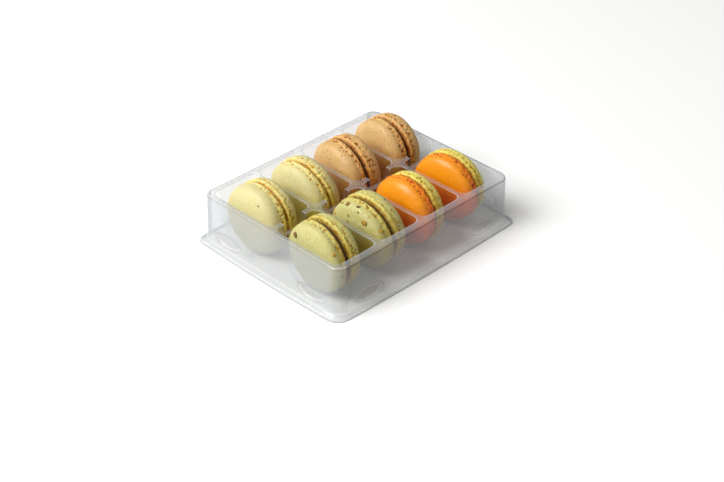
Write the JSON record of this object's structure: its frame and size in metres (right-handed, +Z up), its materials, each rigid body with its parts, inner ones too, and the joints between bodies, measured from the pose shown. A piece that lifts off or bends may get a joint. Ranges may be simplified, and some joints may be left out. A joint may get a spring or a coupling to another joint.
{
  "type": "tray of macarons",
  "caption": "Clear plastic tray of macarons standing on edge in two rows of pockets: yellow, brown, pistachio green and orange.",
  "frame": {"origin": "on the table, under the middle of the tray", "axes": "+X along the tray's long side, from the yellow and green end towards the brown and orange end; +Y across the tray, towards the yellow and brown row; +Z up"},
  "size_m": [0.1602, 0.1296, 0.0488],
  "materials": {
    "film": "clear, slightly milky thin film, glossy",
    "yellow": "pale lemon baked shell, matt",
    "brown": "light caramel baked shell with fine dark specks, matt",
    "green": "pale pistachio baked shell with nut flakes, matt",
    "amber": "bright orange baked shell, satin",
    "yellow_cream": "thin yellow-brown cream, matt",
    "cocoa": "dark chocolate ganache, satin"
  },
  "bodies": {
    "root": {"skirt": "film", "deck": "film", "pocket_front_1": "film", "pocket_back_1": "film", "saddle_1": "film", "pocket_front_2": "film", "pocket_back_2": "film", "saddle_2": "film", "pocket_front_3": "film", "pocket_back_3": "film", "saddle_3": "film", "pocket_front_4": "film", "pocket_back_4": "film", "saddle_4": "film", "yellow_a_front": "yellow", "yellow_a_filling": "yellow_cream", "yellow_a_back": "yellow", "yellow_b_front": "yellow", "yellow_b_filling": "yellow_cream", "yellow_b_back": "yellow", "brown_a_front": "brown", "brown_a_filling": "cocoa", "brown_a_back": "brown", "brown_b_front": "brown", "brown_b_filling": "cocoa", "brown_b_back": "brown", "green_a_front": "green", "green_a_filling": "cocoa", "green_a_back": "green", "green_b_front": "green", "green_b_filling": "cocoa", "green_b_back": "green", "amber_a_front": "amber", "amber_a_filling": "yellow_cream", "amber_a_back": "yellow", "amber_b_front": "amber", "amber_b_filling": "yellow_cream", "amber_b_back": "yellow"}
  },
  "joints": []
}
